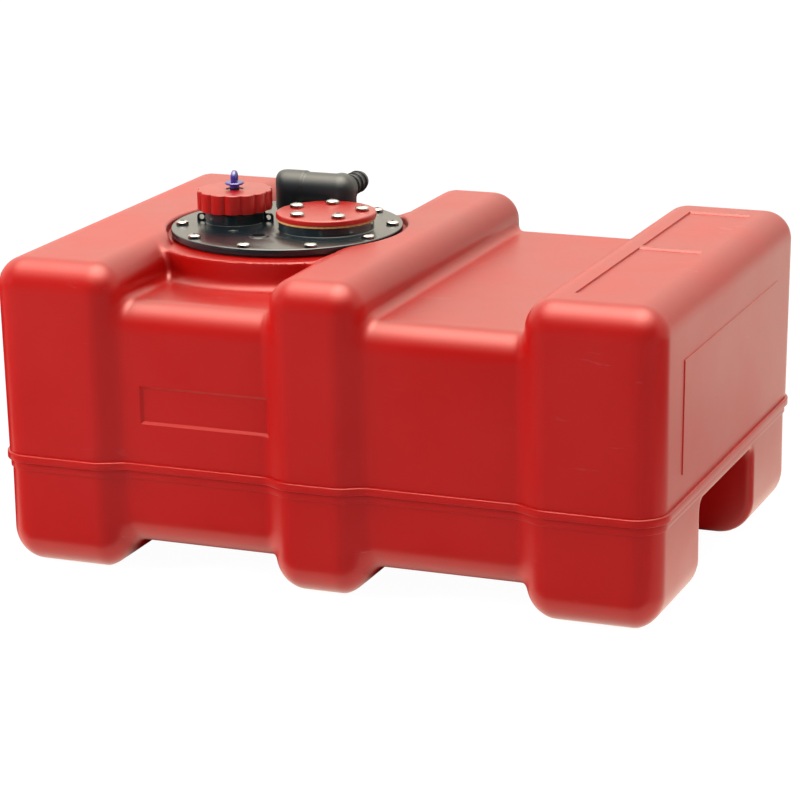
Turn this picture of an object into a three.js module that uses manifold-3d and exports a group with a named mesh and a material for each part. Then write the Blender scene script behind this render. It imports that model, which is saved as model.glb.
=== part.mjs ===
// A fixed plastic fuel tank of about 33 litres, moulded as two halves, with a round fittings flange
// screwed on a raised seat: filler neck and cap, air vent screw, blanked gauge hole and hose elbow.
// Millimetres. +X runs along the tank, -Y is the long front side and +Z is up.
// The origin lies on the ground under the middle of the tank.

import * as THREE from 'three';
import { mergeVertices } from 'three/addons/utils/BufferGeometryUtils.js';
import Module from 'manifold-3d';

const wasm = await Module();
wasm.setup();

// Tank, over the seam lip
const tankLength = 500;
const tankWidth = 352;
const tankHeight = 228;
const tankWall = 5;
const cornerRadius = 21;
const topEdgeRadius = 21;
const bottomEdgeRadius = 27;
const edgeTipRadius = 2;

// Blocks and recesses along the tank
const ribX = -3;
const ribWidth = 71;
const leftRecessWidth = 114.5;
const rightRecessWidth = 116;
const recessSideDepth = 9;
const recessTopDepth = 27;
const recessBottomHeight = 20;
const coreInset = 40;

// Seam: a stepped lip, the upper step on the upper half and the lower one on the lower half
const seamHeight = 79.3;
const upperLipHeight = 5.9;
const upperLipOut = 3.5;
const lowerLipHeight = 5.9;
const lowerLipOut = 1.2;
const upperSideOut = 1.3;
const upperFlare = 1.5;
const seamGap = 0.3;

// Hand hold under each end
const holdDepth = 60;
const holdWidth = 138;
const holdHeight = 68;
const holdRadius = 8;

// Bare panels: front plate, end face and the pair on top of the right block
const plateX = -87.5;
const plateLength = 100;
const plateHeight = 28.5;
const plateZ = 128.5;
const plateDepth = 1.6;
const plateBevel = 2.2;
const endPanelWidth = 242;
const endPanelHeight = 81;
const endPanelZ = 143.2;
const endPanelDepth = 0.7;
const topPanelX = 199.8;
const topPanelLength = 46.5;
const nearPanelWidth = 145.5;
const farPanelWidth = 121.5;
const panelDivide = 6;
const panelDivideY = 12;
const topPanelDepth = 1.2;

// Round seat of the flange on the upper half
const flangeX = -93.7;
const seatRadius = 100.5;
const seatDrop = 6.5;
const seatThickness = 6;
const seatOpeningRadius = 70;
const pocketClearance = 3.3;
const seatRingDepth = 18;
const seatRingWidth = 17;
const seatRimRound = 1.5;

// Flange plate and gasket
const flangeRadius = 86;
const flangeThickness = 4.75;
const flangeRimRound = 0.8;
const gasketThickness = 1.25;
const gasketInset = 2.5;
const gasketOpeningRadius = 71;
const restGap = 0.25;

// Flange screws and inserts
const flangeScrewCount = 10;
const flangeScrewCircle = 78.4;
const firstScrewAngle = 18;
const screwShankRadius = 2.3;
const screwShankLength = 17;
const screwHeadRadius = 4.8;
const screwHeadHeight = 2.7;
const screwHoleClearance = 0.4;
const screwSlotWidth = 1.1;
const screwSlotLength = 5.2;
const screwSlotDepth = 1.4;
const insertRadius = 4;
const insertLength = 12;
const insertWallGap = 0.3;

// Filler neck, with its tether ears
const neckX = -42.3;
const neckBoreRadius = 18;
const neckCollarRadius = 22.6;
const neckCollarHeight = 8.9;
const neckThreadRootRadius = 20.4;
const neckHeight = 19.5;
const earAngle = 15;
const earReach = 28.8;
const earThickness = 2.8;
const earHeight = 5.8;
const earHoleRadius = 1.9;
const earHoleInset = 3.6;

// Screw thread between neck and cap
const threadPitch = 4;
const neckThreadTurns = 1.75;
const capThreadTurns = 1.25;
const threadStart = 1.8;
const neckThreadDepth = 1.6;
const capThreadDepth = 2.2;
const threadBaseWidth = 2;
const threadCrestWidth = 1;
const threadEmbed = 0.4;

// Filler cap and its sealing ring
const capRadius = 28.2;
const capInnerRadius = 23.4;
const capTopThickness = 2.6;
const capRimGap = 0.6;
const capEdgeRadius = 1.6;
const fluteCount = 14;
const fluteDepth = 1;
const firstFluteAngle = -62;
const capSealThickness = 1.5;
const capSealInnerRadius = 18.4;
const capSealOuterRadius = 23;
const ventRecessRadius = 6.6;
const ventRecessDepth = 0.8;

// Air vent thumb screw and its ring
const ventStemRadius = 2.4;
const ventStemLength = 7.5;
const ventHoleClearance = 0.3;
const ventHubRadius = 3.7;
const ventHubHeight = 2.6;
const ventFlangeRadius = 7.4;
const ventFlangeThickness = 1.9;
const ventFinLength = 12;
const ventFinThickness = 5;
const ventFinHeight = 9.6;
const ventFinAngle = -74;
const ventSealRadius = 3.6;
const ventSealThickness = 1.1;

// Gauge boss, cork gasket, round cover and its screws
const gaugeX = 32.5;
const gaugeY = -2;
const gaugeBossRadius = 35.3;
const gaugeBossHeight = 6.6;
const gaugeHoleRadius = 20;
const corkThickness = 1.5;
const corkRadius = 36.4;
const coverRadius = 37.2;
const coverThickness = 4;
const coverRimRound = 0.8;
const coverScrewCircle = 26.6;
const coverScrewAngles = [-120, -48, 24, 103, 168];
const coverScrewHeadRadius = 5.2;
const coverScrewHeadHeight = 3.3;
const coverScrewShankLength = 12;

// Hose elbow, its ring and nut
const elbowX = -16.3;
const elbowY = 49.4;
const elbowRiserRadius = 13.3;
const elbowAxisHeight = 15.5;
const elbowSocketLength = 11.4;
const elbowBendReach = 16;
const elbowArmRadius = 12.4;
const elbowArmLength = 38.3;
const elbowTailLength = 8;
const elbowBoreRadius = 6.5;
const barbNeckLength = 16.7;
const barbRadius = 7.4;
const barbRingRadius = 8.6;
const barbRingPitch = 7.5;
const barbRingCount = 3;
const spigotRadius = 9;
const spigotLength = 18;
const spigotClearance = 0.3;
const elbowSealRadius = 12.6;
const elbowSealThickness = 1.4;
const elbowNutRadius = 15;
const elbowNutHeight = 6;

// Pickup tube and strainer inside the tank
const tubeRadius = 6.1;
const tubeBoreRadius = 4.4;
const tubeOverlap = 12;
const strainerRadius = 11;
const strainerHeight = 24;
const strainerWall = 1.5;
const strainerFloorGap = 2;
const strainerSlotCount = 6;
const strainerSlotWidth = 2.5;

// Blanked port and dimple moulded on the plate
const portX = -3.1;
const portY = -44.8;
const portRadius = 7.4;
const portInnerRadius = 4.6;
const portHeight = 0.9;
const portDepth = 1.6;
const dimpleX = -28.1;
const dimpleY = -35.2;
const dimpleRadius = 4;
const dimpleDepth = 0.7;

// Cuts run this far past the faces they open
const overrun = 3;

// Facets of rounds
const cornerSteps = 5;
const edgeSteps = 4;
const largeSides = 48;
const middleSides = 32;
const smallSides = 16;
const screwSides = 12;
const nutSides = 6;
const helixSteps = 20;

// Heights and places that follow
const halfLength = tankLength / 2 - upperLipOut;
const halfWidth = tankWidth / 2 - upperLipOut;
const seatZ = tankHeight - seatDrop;
const plateBottom = restGap + gasketThickness + restGap;
const plateTop = plateBottom + flangeThickness;
const capBottom = neckCollarHeight + capRimGap;
const capUnderside = neckHeight + restGap + capSealThickness + restGap;
const capTop = capUnderside + capTopThickness;
const floorAboveFeet = tankWall;
const floorUnderRecess = recessBottomHeight + tankWall;

// Geometry helpers

// A closed body from a stack of point loops of equal count, anticlockwise seen from the last loop
function stack(loops) {
  const count = loops[0].length;
  const points = loops.flat();
  const index = [];
  loops.slice(1).forEach((_, level) => {
    for (let i = 0; i < count; i++) {
      const a = level * count + i;
      const b = level * count + (i + 1) % count;
      index.push(a, b, b + count, a, b + count, a + count);
    }
  });
  const addCap = (first, flip) => {
    const loop = points.slice(first, first + count);
    const middle = loop.reduce((sum, p) => sum.add(p), new THREE.Vector3()).divideScalar(count);
    const centre = points.push(middle) - 1;
    for (let i = 0; i < count; i++) {
      const a = first + i;
      const b = first + (i + 1) % count;
      index.push(...(flip ? [centre, b, a] : [centre, a, b]));
    }
  };
  addCap(0, true);
  addCap((loops.length - 1) * count, false);
  const geometry = new THREE.BufferGeometry().setFromPoints(points);
  geometry.setIndex(index);
  return geometry;
}

// A rectangle with rounded corners at height z, anticlockwise seen from above
function roundedLoop(x0, x1, y0, y1, radius, z) {
  const corners = [[x1, y1], [x0, y1], [x0, y0], [x1, y0]];
  return corners.flatMap(([x, y], corner) => {
    const cx = x - Math.sign(x - (x0 + x1) / 2) * radius;
    const cy = y - Math.sign(y - (y0 + y1) / 2) * radius;
    return Array.from({ length: cornerSteps + 1 }, (_, step) => {
      const angle = (corner + step / cornerSteps) * Math.PI / 2;
      return new THREE.Vector3(cx + radius * Math.cos(angle), cy + radius * Math.sin(angle), z);
    });
  });
}

// A solid of revolution about Z from a profile of [radius, height] pairs, anticlockwise
function turned(profile, sides) {
  const points = [...profile, profile[0]].map(([r, z]) => new THREE.Vector2(r, z));
  return new THREE.LatheGeometry(points, sides).rotateX(Math.PI / 2);
}

function disc(radius, z0, z1, sides) {
  return turned([[0, z0], [radius, z0], [radius, z1], [0, z1]], sides);
}

function ring(inner, outer, z0, z1, sides) {
  return turned([[inner, z0], [outer, z0], [outer, z1], [inner, z1]], sides);
}

function box(x0, x1, y0, y1, z0, z1) {
  const geometry = new THREE.BoxGeometry(x1 - x0, y1 - y0, z1 - z0);
  return geometry.translate((x0 + x1) / 2, (y0 + y1) / 2, (z0 + z1) / 2);
}

// A geometry as a solid for joining and cutting
function solid(geometry) {
  const bare = geometry.clone();
  bare.deleteAttribute('normal');
  bare.deleteAttribute('uv');
  const merged = mergeVertices(bare);
  const source = merged.index.array;
  const kept = [];
  for (let i = 0; i < source.length; i += 3) {
    const [a, b, c] = source.slice(i, i + 3);
    if (a !== b && b !== c && c !== a) kept.push(a, b, c);
  }
  return new wasm.Manifold(new wasm.Mesh({
    numProp: 3,
    vertProperties: Float32Array.from(merged.attributes.position.array),
    triVerts: Uint32Array.from(kept),
  }));
}

const joined = (...parts) => parts.map(solid).reduce((sum, part) => sum.add(part));
const atPlace = (geometry, x, y) => geometry.clone().translate(x, y, 0);
const onCircle = (radius, degrees) => {
  const angle = THREE.MathUtils.degToRad(degrees);
  return [radius * Math.cos(angle), radius * Math.sin(angle)];
};

function meshOf(name, shape, material) {
  let geometry = shape;
  if (shape instanceof wasm.Manifold) {
    const data = shape.getMesh();
    geometry = new THREE.BufferGeometry();
    geometry.setAttribute('position', new THREE.BufferAttribute(data.vertProperties, 3));
    geometry.setIndex(new THREE.BufferAttribute(data.triVerts, 1));
  }
  geometry.computeVertexNormals();
  const mesh = new THREE.Mesh(geometry, material);
  mesh.name = name;
  return mesh;
}

// Materials

const surface = (color, roughness, metalness = 0) =>
  new THREE.MeshStandardMaterial({ color, roughness, metalness });
const redPlastic = surface(0xc4170d, 0.42);
const capPlastic = surface(0xb81a14, 0.45);
const blackPlastic = surface(0x1b1d1e, 0.4);
const steel = surface(0xd6d8d6, 0.25, 1);
const brass = surface(0xb8923a, 0.35, 1);
const cork = surface(0xb5793d, 0.9);
const rubber = surface(0x151515, 0.8);
const bluePlastic = surface(0x4a48a8, 0.4);
const paleNylon = surface(0xd9d6cb, 0.5);

// Tank halves

// The blocks of the moulding at the seam. An end flag of 1 marks a side on the outside of the tank.
const ribLeft = ribX - ribWidth / 2;
const ribRight = ribX + ribWidth / 2;
const blocks = [
  { x0: -halfLength, x1: ribLeft - leftRecessWidth, y: halfWidth, top: tankHeight, bottom: 0, ends: [1, 0] },
  { x0: ribLeft, x1: ribRight, y: halfWidth, top: tankHeight, bottom: 0, ends: [0, 0] },
  { x0: ribRight + rightRecessWidth, x1: halfLength, y: halfWidth, top: tankHeight, bottom: 0, ends: [0, 1] },
  {
    x0: -halfLength + coreInset,
    x1: halfLength - coreInset,
    y: halfWidth - recessSideDepth,
    top: tankHeight - recessTopDepth,
    bottom: recessBottomHeight,
    ends: [0, 0],
  },
];

// One loop of a block, moved in by inset on every side and out by the flare on its outer sides
function blockLoop(block, inset, flare, radius, z) {
  const x0 = block.x0 - flare * block.ends[0] + inset;
  const x1 = block.x1 + flare * block.ends[1] - inset;
  const y = block.y + flare - inset;
  return roundedLoop(x0, x1, -y, y, radius, z);
}

// A block from the seam to its top or bottom, whose far edge is a quarter round
function halfBlock(block, upward, wall, seamZ) {
  const edge = (upward ? topEdgeRadius : bottomEdgeRadius) - wall;
  const far = upward ? block.top - wall : block.bottom + wall;
  const sign = upward ? 1 : -1;
  const corner = cornerRadius - wall;
  const seamFlare = upward ? upperSideOut : 0;
  const farFlare = upward ? upperSideOut + upperFlare : 0;
  const loops = [blockLoop(block, wall, seamFlare, corner, seamZ)];
  for (let step = 0; step <= edgeSteps; step++) {
    const angle = step / edgeSteps * Math.PI / 2;
    const inset = edge * (1 - Math.cos(angle));
    const radius = corner - (corner - edgeTipRadius) * inset / edge;
    const z = far - sign * edge * (1 - Math.sin(angle));
    loops.push(blockLoop(block, wall + inset, farFlare, radius, z));
  }
  return stack(upward ? loops : loops.reverse());
}

const halfTank = (upward, wall, seamZ) =>
  joined(...blocks.map((block) => halfBlock(block, upward, wall, seamZ)));

function lip(out, z0, z1) {
  const radius = cornerRadius + out;
  return joined(...blocks.map((block) => stack([z0, z1].map((z) => {
    const x0 = block.x0 - out;
    const x1 = block.x1 + out;
    const y = block.y + out;
    return roundedLoop(x0, x1, -y, y, radius, z);
  }))));
}

// A hand hold cut up into the foot of an end block, grown by a wall for the cavity round it
function handHold(side, grow) {
  const inner = halfLength - holdDepth - grow;
  const outer = halfLength + overrun;
  const y = holdWidth / 2 + grow;
  const radius = holdRadius + grow;
  const top = holdHeight + grow;
  const loops = [roundedLoop(inner, outer + radius, -y, y, radius, -overrun)];
  for (let step = 0; step <= edgeSteps; step++) {
    const angle = step / edgeSteps * Math.PI / 2;
    const inset = holdRadius * (1 - Math.cos(angle));
    const z = top - holdRadius * (1 - Math.sin(angle));
    const far = outer + radius - inset;
    loops.push(roundedLoop(inner + inset, far, inset - y, y - inset, radius - inset + edgeTipRadius, z));
  }
  const shape = solid(stack(loops));
  return side > 0 ? shape : shape.rotate([0, 0, 180]);
}

// Widens evenly from a small floor at z = 0 to the mouth at its depth, and on past the face
function panelCut(length, height, depth, bevel) {
  const loopAt = (inset, z) => {
    const [x, y] = [length / 2 - inset, height / 2 - inset];
    return [[x, y], [-x, y], [-x, -y], [x, -y]].map((p) => new THREE.Vector3(...p, z));
  };
  return stack([loopAt(bevel, 0), loopAt(0, depth), loopAt(0, depth + overrun)]);
}

function lowerShell() {
  const top = seamHeight - seamGap / 2;
  const lipBottom = seamHeight - lowerLipHeight;
  const outer = halfTank(false, 0, top).add(lip(lowerLipOut, lipBottom, top));
  const hollow = halfTank(false, tankWall, top + overrun);
  const holds = [-1, 1].map((side) => handHold(side, tankWall));
  const cavity = holds.reduce((sum, hold) => sum.subtract(hold), hollow);
  return [-1, 1].reduce((sum, side) => sum.subtract(handHold(side, 0)), outer.subtract(cavity));
}

function upperShell() {
  const bottom = seamHeight + seamGap / 2;
  const rimZ = seatZ - seatRimRound;
  const seatProfile = [
    [0, recessBottomHeight + seamHeight],
    [seatRadius, recessBottomHeight + seamHeight],
    [seatRadius, rimZ],
    [seatRadius - seatRimRound, seatZ],
    [0, seatZ],
  ];
  const pocketRadius = flangeRadius + pocketClearance;
  const ceiling = seatZ - seatThickness;
  const seatHollow = seatRadius - tankWall;
  const above = tankHeight + overrun;
  const seat = turned(seatProfile, largeSides).translate(flangeX, 0, 0);
  const outer = halfTank(true, 0, bottom)
    .add(lip(upperLipOut, bottom, seamHeight + upperLipHeight))
    .add(solid(seat))
    .subtract(solid(disc(pocketRadius, seatZ, above, largeSides).translate(flangeX, 0, 0)));
  const cavity = halfTank(true, tankWall, bottom - overrun)
    .subtract(solid(disc(seatHollow, ceiling, above, largeSides).translate(flangeX, 0, 0)))
    .add(solid(disc(seatHollow, seamHeight + tankWall, ceiling, largeSides).translate(flangeX, 0, 0)));
  const insertRing = ring(
    seatOpeningRadius, seatOpeningRadius + seatRingWidth, seatZ - seatRingDepth, ceiling + overrun, largeSides,
  ).translate(flangeX, 0, 0);
  let shell = outer.subtract(cavity).add(solid(insertRing));
  const opening = disc(seatOpeningRadius, ceiling - seatRingDepth, above, largeSides);
  shell = shell.subtract(solid(opening.translate(flangeX, 0, 0)));
  const insertHole = disc(insertRadius + insertWallGap, seatZ - insertLength - overrun, above, screwSides);
  for (const [x, y] of flangeScrewPlaces) {
    shell = shell.subtract(solid(atPlace(insertHole, flangeX + x, y)));
  }
  return panelCuts().reduce((sum, cut) => sum.subtract(cut), shell);
}

// The bare panels, each cut square to its face
function panelCuts() {
  const sideAt = (z, base) => base + upperSideOut
    + upperFlare * (z - seamHeight) / (tankHeight - topEdgeRadius - seamHeight);
  const recessFace = sideAt(plateZ, halfWidth - recessSideDepth);
  const endFace = sideAt(endPanelZ, halfLength);
  const frontPlate = panelCut(plateLength, plateHeight, plateDepth, plateBevel)
    .rotateX(Math.PI / 2)
    .translate(plateX, plateDepth - recessFace, plateZ);
  const endPanel = panelCut(endPanelHeight, endPanelWidth, endPanelDepth, endPanelDepth)
    .rotateY(Math.PI / 2)
    .translate(endFace - endPanelDepth, 0, endPanelZ);
  const nearY = panelDivideY - (panelDivide + nearPanelWidth) / 2;
  const farY = panelDivideY + (panelDivide + farPanelWidth) / 2;
  const nearPanel = panelCut(topPanelLength, nearPanelWidth, topPanelDepth, topPanelDepth);
  const farPanel = panelCut(topPanelLength, farPanelWidth, topPanelDepth, topPanelDepth);
  const panelFloor = tankHeight - topPanelDepth;
  return [
    frontPlate,
    endPanel,
    nearPanel.translate(topPanelX, nearY, panelFloor),
    farPanel.translate(topPanelX, farY, panelFloor),
  ].map(solid);
}

// Flange: everything below is placed from the middle of the seat

const flangeScrewPlaces = Array.from({ length: flangeScrewCount }, (_, i) =>
  onCircle(flangeScrewCircle, firstScrewAngle + i * 360 / flangeScrewCount));
const coverScrewPlaces = coverScrewAngles.map((angle) => {
  const [x, y] = onCircle(coverScrewCircle, angle);
  return [gaugeX + x, gaugeY + y];
});
const screwHoleRadius = screwShankRadius + screwHoleClearance;

function flangeGasket() {
  const body = solid(ring(gasketOpeningRadius, flangeRadius - gasketInset, 0, gasketThickness, largeSides));
  const hole = disc(screwHoleRadius, -overrun, gasketThickness + overrun, screwSides);
  return flangeScrewPlaces.reduce((sum, [x, y]) => sum.subtract(solid(atPlace(hole, x, y))), body);
}

// A ridge of the screw thread, swept along a helix about Z
function threadRidge(turns, startAngle, startZ, [innerRadius, innerWidth], [outerRadius, outerWidth]) {
  const steps = Math.ceil(turns * helixSteps);
  return stack(Array.from({ length: steps + 1 }, (_, step) => {
    const share = step / steps * turns;
    const angle = startAngle + share * 2 * Math.PI;
    const z = startZ + share * threadPitch;
    const section = [
      [outerRadius, -outerWidth / 2],
      [innerRadius, -innerWidth / 2],
      [innerRadius, innerWidth / 2],
      [outerRadius, outerWidth / 2],
    ];
    return section.map(([r, dz]) => new THREE.Vector3(r * Math.cos(angle), r * Math.sin(angle), z + dz));
  }));
}

function flangePlate() {
  const rimZ = flangeThickness - flangeRimRound;
  const plate = turned([
    [0, 0], [flangeRadius, 0], [flangeRadius, rimZ],
    [flangeRadius - flangeRimRound, flangeThickness], [0, flangeThickness],
  ], largeSides);
  const neck = turned([
    [0, flangeThickness / 2],
    [neckCollarRadius, flangeThickness / 2],
    [neckCollarRadius, flangeThickness + neckCollarHeight],
    [neckThreadRootRadius, flangeThickness + neckCollarHeight],
    [neckThreadRootRadius, flangeThickness + neckHeight],
    [0, flangeThickness + neckHeight],
  ], middleSides).translate(neckX, 0, 0);
  const ridge = threadRidge(
    neckThreadTurns, 0, flangeThickness + neckCollarHeight + threadStart,
    [neckThreadRootRadius - threadEmbed, threadBaseWidth],
    [neckThreadRootRadius + neckThreadDepth, threadCrestWidth],
  ).translate(neckX, 0, 0);
  const bossTop = flangeThickness + gaugeBossHeight;
  const boss = disc(gaugeBossRadius, flangeThickness / 2, bossTop, middleSides).translate(gaugeX, gaugeY, 0);
  const port = disc(portRadius, flangeThickness / 2, flangeThickness + portHeight, smallSides);
  const turnEars = (geometry) => geometry
    .rotateZ(THREE.MathUtils.degToRad(earAngle))
    .translate(neckX, 0, 0);
  const ears = turnEars(box(
    -earReach, earReach, -earThickness / 2, earThickness / 2,
    flangeThickness / 2, flangeThickness + earHeight,
  ));
  let body = joined(plate, neck, ridge, boss, port.translate(portX, portY, 0), ears);

  const through = flangeThickness + neckHeight + overrun;
  const earHole = disc(earHoleRadius, -earThickness, earThickness, screwSides).rotateX(Math.PI / 2);
  const earHoleX = earReach - earHoleInset;
  const screwHole = disc(screwHoleRadius, -overrun, flangeThickness + overrun, screwSides);
  const coverHole = disc(
    screwHoleRadius, bossTop - coverScrewShankLength, bossTop + overrun, screwSides,
  );
  const cuts = [
    disc(neckBoreRadius, -overrun, through, middleSides).translate(neckX, 0, 0),
    disc(gaugeHoleRadius, -overrun, through, middleSides).translate(gaugeX, gaugeY, 0),
    disc(spigotRadius + spigotClearance, -overrun, through, middleSides).translate(elbowX, elbowY, 0),
    disc(portInnerRadius, flangeThickness - portDepth, through, smallSides).translate(portX, portY, 0),
    disc(dimpleRadius, flangeThickness - dimpleDepth, through, smallSides)
      .translate(dimpleX, dimpleY, 0),
    ...[-1, 1].map((side) => turnEars(earHole.clone()
      .translate(side * earHoleX, 0, flangeThickness + earHeight / 2))),
    ...flangeScrewPlaces.map(([x, y]) => atPlace(screwHole, x, y)),
    ...coverScrewPlaces.map(([x, y]) => atPlace(coverHole, x, y)),
  ];
  for (const cut of cuts) body = body.subtract(solid(cut));
  return body;
}

// A pan-head screw with a cross slot, standing on z = 0 with its shank below
function panScrew(headRadius, headHeight, shankLength) {
  const body = turned([
    [0, -shankLength],
    [screwShankRadius, -shankLength],
    [screwShankRadius, 0],
    [headRadius, 0],
    [headRadius, headHeight * 0.45],
    [headRadius * 0.8, headHeight * 0.88],
    [headRadius * 0.4, headHeight],
    [0, headHeight],
  ], screwSides);
  const slot = box(
    -screwSlotLength / 2, screwSlotLength / 2, -screwSlotWidth / 2, screwSlotWidth / 2,
    headHeight - screwSlotDepth, headHeight + overrun,
  );
  const crossSlot = slot.clone().rotateZ(Math.PI / 2);
  return solid(body).subtract(solid(slot)).subtract(solid(crossSlot));
}

// Filler cap

// The cap's fluted outline, moved in by inset
function capLoop(inset, z) {
  const stepsPerFlute = 4;
  const count = fluteCount * stepsPerFlute;
  return Array.from({ length: count }, (_, i) => {
    const flute = i % stepsPerFlute === 0 ? 1 : 0;
    const radius = capRadius - inset - fluteDepth * flute;
    const [x, y] = onCircle(radius, firstFluteAngle + i * 360 / count);
    return new THREE.Vector3(x, y, z);
  });
}

function fillerCap() {
  const outside = stack([
    capLoop(0, capBottom),
    capLoop(0, capTop - capEdgeRadius),
    capLoop(capEdgeRadius * (1 - Math.SQRT1_2), capTop - capEdgeRadius * (1 - Math.SQRT1_2)),
    capLoop(capEdgeRadius, capTop),
  ]);
  const ridge = threadRidge(
    capThreadTurns, -Math.PI / 2, neckCollarHeight + threadStart + threadPitch / 4,
    [capInnerRadius - capThreadDepth, threadCrestWidth],
    [capInnerRadius + threadEmbed, threadBaseWidth],
  );
  const ventHole = ventStemRadius + ventHoleClearance;
  return solid(outside)
    .subtract(solid(disc(capInnerRadius, capBottom - overrun, capUnderside, middleSides)))
    .add(solid(ridge))
    .subtract(solid(disc(ventHole, capUnderside - overrun, capTop + overrun, smallSides)))
    .subtract(solid(disc(ventRecessRadius, capTop - ventRecessDepth, capTop + overrun, smallSides)));
}

// Thumb screw: stem, hub, round flange and an upright fin with a round top, from the recess floor
const ventSeat = capTop - ventRecessDepth;

function ventScrew() {
  const hubZ = restGap + ventSealThickness + restGap;
  const flangeZ = hubZ + ventHubHeight;
  const finZ = flangeZ + ventFlangeThickness;
  const stem = turned([
    [0, -ventStemLength],
    [ventStemRadius, -ventStemLength],
    [ventStemRadius, hubZ],
    [ventHubRadius, hubZ],
    [ventHubRadius, flangeZ],
    [ventFlangeRadius, flangeZ],
    [ventFlangeRadius, finZ],
    [0, finZ],
  ], smallSides);
  const half = ventFinLength / 2;
  const finShape = new THREE.Shape();
  finShape.moveTo(-half, 0);
  finShape.lineTo(half, 0);
  finShape.lineTo(half, ventFinHeight - half);
  finShape.absarc(0, ventFinHeight - half, half, 0, Math.PI);
  const fin = new THREE.ExtrudeGeometry(finShape, {
    depth: ventFinThickness,
    bevelEnabled: false,
    curveSegments: 8,
  });
  fin.translate(0, 0, -ventFinThickness / 2).rotateX(Math.PI / 2);
  fin.rotateZ(THREE.MathUtils.degToRad(ventFinAngle)).translate(0, 0, finZ - ventFlangeThickness / 2);
  return joined(stem, fin);
}

// Hose elbow: up from the plate through a squarish bend, along +X over a foot, then back along +Y
// to the barbed tail

function hoseElbow() {
  const alongX = (radius, length) => disc(radius, 0, length, smallSides)
    .rotateY(Math.PI / 2)
    .translate(0, 0, elbowAxisHeight);
  const alongY = (profile) => turned(profile, smallSides)
    .rotateX(-Math.PI / 2)
    .translate(elbowArmLength, 0, elbowAxisHeight);
  const ball = (radius, x) => new THREE.SphereGeometry(radius, smallSides, smallSides / 2)
    .translate(x, 0, elbowAxisHeight);
  const rod = (radius, length) => [[0, 0], [radius, 0], [radius, length], [0, length]];

  const barbProfile = [[0, 0], [barbRadius, 0]];
  for (let i = 0; i < barbRingCount; i++) {
    const start = barbNeckLength + i * barbRingPitch;
    const rise = barbRingPitch / 4;
    barbProfile.push([barbRadius, start + rise], [barbRingRadius, start + rise]);
    barbProfile.push([barbRadius, start + barbRingPitch]);
  }
  const barbEnd = barbNeckLength + barbRingCount * barbRingPitch;
  barbProfile.push([0, barbEnd]);
  const footBottom = -elbowSealThickness - restGap;
  const across = alongX(elbowRiserRadius, elbowRiserRadius + elbowSocketLength)
    .translate(-elbowRiserRadius, 0, 0);
  const bend = solid(disc(elbowRiserRadius, 0, elbowAxisHeight + elbowRiserRadius, smallSides))
    .intersect(solid(across))
    .intersect(solid(ball(elbowBendReach, 0)));
  const body = joined(
    disc(elbowRiserRadius, 0, elbowAxisHeight, smallSides),
    alongX(elbowRiserRadius, elbowSocketLength),
    alongX(elbowArmRadius, elbowArmLength),
    ball(elbowArmRadius, elbowArmLength),
    disc(elbowArmRadius, footBottom, elbowAxisHeight, smallSides).translate(elbowArmLength, 0, 0),
    alongY(rod(elbowArmRadius, elbowTailLength)),
    alongY(barbProfile),
    disc(spigotRadius, -spigotLength, elbowAxisHeight / 2, smallSides),
  ).add(bend);
  const bores = [
    disc(elbowBoreRadius, -spigotLength - overrun, elbowAxisHeight, smallSides),
    ball(elbowBoreRadius, 0),
    alongX(elbowBoreRadius, elbowArmLength),
    ball(elbowBoreRadius, elbowArmLength),
    alongY(rod(elbowBoreRadius, barbEnd + overrun)),
  ];
  return bores.reduce((sum, bore) => sum.subtract(solid(bore)), body);
}

// Pickup tube and strainer, from the spigot's mouth down to just above the tank's floor

const elbowBase = plateTop + restGap + elbowSealThickness + restGap;
const spigotMouth = elbowBase - spigotLength;
const tubeTop = spigotMouth + tubeOverlap;
const strainerBottom = floorUnderRecess - seatZ + strainerFloorGap;

function strainer() {
  const mouth = tubeRadius + restGap;
  const body = solid(turned([
    [0, 0],
    [strainerRadius, 0],
    [strainerRadius, strainerHeight],
    [mouth, strainerHeight],
    [mouth, strainerHeight - 2 * strainerWall],
    [strainerRadius - strainerWall, strainerHeight - 2 * strainerWall],
    [strainerRadius - strainerWall, strainerWall],
    [0, strainerWall],
  ], smallSides));
  const slot = box(
    0, strainerRadius + overrun, -strainerSlotWidth / 2, strainerSlotWidth / 2,
    2 * strainerWall, strainerHeight - 4 * strainerWall,
  );
  return Array.from({ length: strainerSlotCount }, (_, i) => i * 2 * Math.PI / strainerSlotCount)
    .reduce((sum, angle) => sum.subtract(solid(slot.clone().rotateZ(angle))), body);
}

// Assembly

const tank = new THREE.Group();
tank.add(meshOf('lower_shell', lowerShell(), redPlastic));
tank.add(meshOf('upper_shell', upperShell(), redPlastic));

const flange = new THREE.Group();
flange.position.set(flangeX, 0, seatZ);
tank.add(flange);

function place(mesh, x, y, z) {
  mesh.position.set(x, y, z);
  flange.add(mesh);
}

place(meshOf('flange_gasket', flangeGasket(), rubber), 0, 0, restGap);
place(meshOf('flange_plate', flangePlate(), blackPlastic), 0, 0, plateBottom);

const flangeScrew = panScrew(screwHeadRadius, screwHeadHeight, screwShankLength);
const insert = ring(screwHoleRadius, insertRadius, -insertLength, 0, screwSides);
flangeScrewPlaces.forEach(([x, y], i) => {
  const number = String(i + 1).padStart(2, '0');
  place(meshOf(`flange_screw_${number}`, flangeScrew, steel), x, y, plateTop + restGap);
  place(meshOf(`seat_insert_${number}`, insert.clone(), brass), x, y, -restGap);
});

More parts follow.
